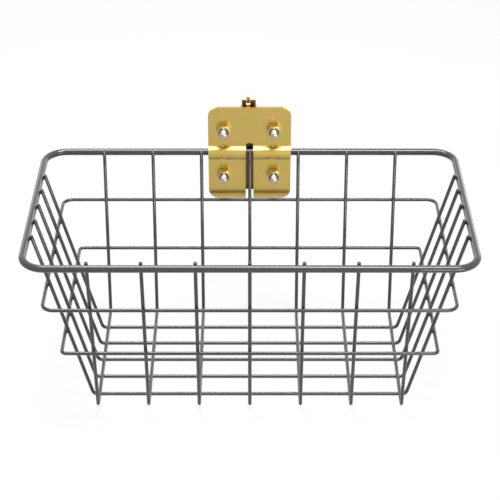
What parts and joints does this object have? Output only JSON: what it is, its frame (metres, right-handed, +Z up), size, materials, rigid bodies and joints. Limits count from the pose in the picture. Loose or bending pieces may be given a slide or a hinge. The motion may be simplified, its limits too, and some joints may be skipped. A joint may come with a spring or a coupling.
{
  "type": "track-mounted wire basket",
  "caption": "Open wire basket with a thick rim, whose back carries a bolted clamp and a hooked fitting with a sprung latch for a slotted cargo track.",
  "frame": {"origin": "centre of the bounding box's bottom, on the surface that the basket stands on", "axes": "+X along the rim from left to right as seen from the front, +Y from the basket's front towards the track, +Z up"},
  "size_m": [0.4348, 0.2601, 0.2455],
  "materials": {
    "grey_coat": "semi-gloss dark grey powder coat",
    "yellow_zinc": "satin yellow zinc plating",
    "bright_zinc": "bright zinc plating",
    "dark_zinc": "dark yellow zinc plating",
    "spring_steel": "drawn spring wire"
  },
  "bodies": {
    "basket": {"rim": "grey_coat", "upper_hoop": "grey_coat", "lower_hoop": "grey_coat", "front_back_wire_1": "grey_coat", "front_back_wire_2": "grey_coat", "front_back_wire_3": "grey_coat", "front_back_wire_4": "grey_coat", "front_back_wire_5": "grey_coat", "front_back_wire_6": "grey_coat", "front_back_wire_7": "grey_coat", "cross_wire_1": "grey_coat", "cross_wire_2": "grey_coat", "cross_wire_3": "grey_coat", "cross_wire_4": "grey_coat", "cross_wire_5": "grey_coat", "clamp_plate": "yellow_zinc", "back_plate": "yellow_zinc", "clamp_bolt_1": "bright_zinc", "clamp_bolt_2": "bright_zinc", "clamp_bolt_3": "bright_zinc", "clamp_bolt_4": "bright_zinc", "lock_nut_1": "yellow_zinc", "lock_nut_2": "yellow_zinc", "lock_nut_3": "yellow_zinc", "lock_nut_4": "yellow_zinc", "track_fitting": "dark_zinc", "pivot_pin": "bright_zinc", "torsion_spring": "spring_steel"},
    "latch": {"latch_lever": "yellow_zinc"}
  },
  "joints": [
    {"name": "latch_swing", "type": "hinge", "parent": "basket", "child": "latch", "pos_m": [-0.0011, 0.11475, 0.23406], "axis": [-1, 0, 0], "range_deg": [0, 22], "stiffness_Nm_per_rad": 0.05, "springref_deg": -20.05, "deforming": ["torsion_spring"]}
  ]
}
